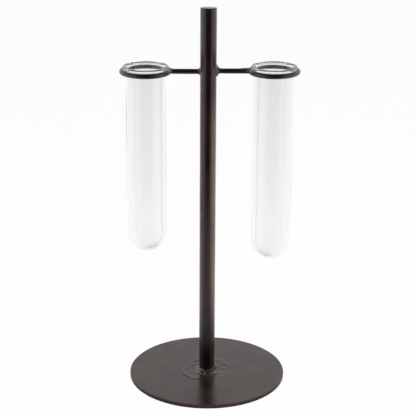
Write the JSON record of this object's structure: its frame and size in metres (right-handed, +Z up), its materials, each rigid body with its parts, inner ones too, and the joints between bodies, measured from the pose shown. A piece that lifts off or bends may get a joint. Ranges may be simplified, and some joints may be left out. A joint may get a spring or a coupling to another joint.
{
  "type": "test tube vase",
  "caption": "Dark metal stand with a round base and a slim post, whose side arms end in wire rings that each hold a lift-out clear glass test tube as a bud vase.",
  "frame": {"origin": "centre of the base disc's underside", "axes": "+Z up along the post, the arms lie along X with the left arm towards -X, the front faces -Y"},
  "size_m": [0.1391, 0.127, 0.305],
  "materials": {
    "dark_steel": "dark bronze black, satin",
    "weld_metal": "dark bronze black over rough weld beads",
    "clear_glass": "clear, polished"
  },
  "bodies": {
    "stand": {"base_disc": "dark_steel", "post": "dark_steel", "foot_weld": "weld_metal", "left_arm": "dark_steel", "right_arm": "dark_steel", "left_arm_weld": "weld_metal", "right_arm_weld": "weld_metal", "left_ring": "dark_steel", "right_ring": "dark_steel", "left_ring_weld": "weld_metal", "right_ring_weld": "weld_metal"},
    "left_tube": {"left_test_tube": "clear_glass"},
    "right_tube": {"right_test_tube": "clear_glass"}
  },
  "joints": [
    {"name": "left_tube_lift", "type": "slide", "parent": "stand", "child": "left_tube", "axis": [0, 0, 1], "range_m": [0, 0.165]},
    {"name": "right_tube_lift", "type": "slide", "parent": "stand", "child": "right_tube", "axis": [0, 0, 1], "range_m": [0, 0.17]}
  ]
}
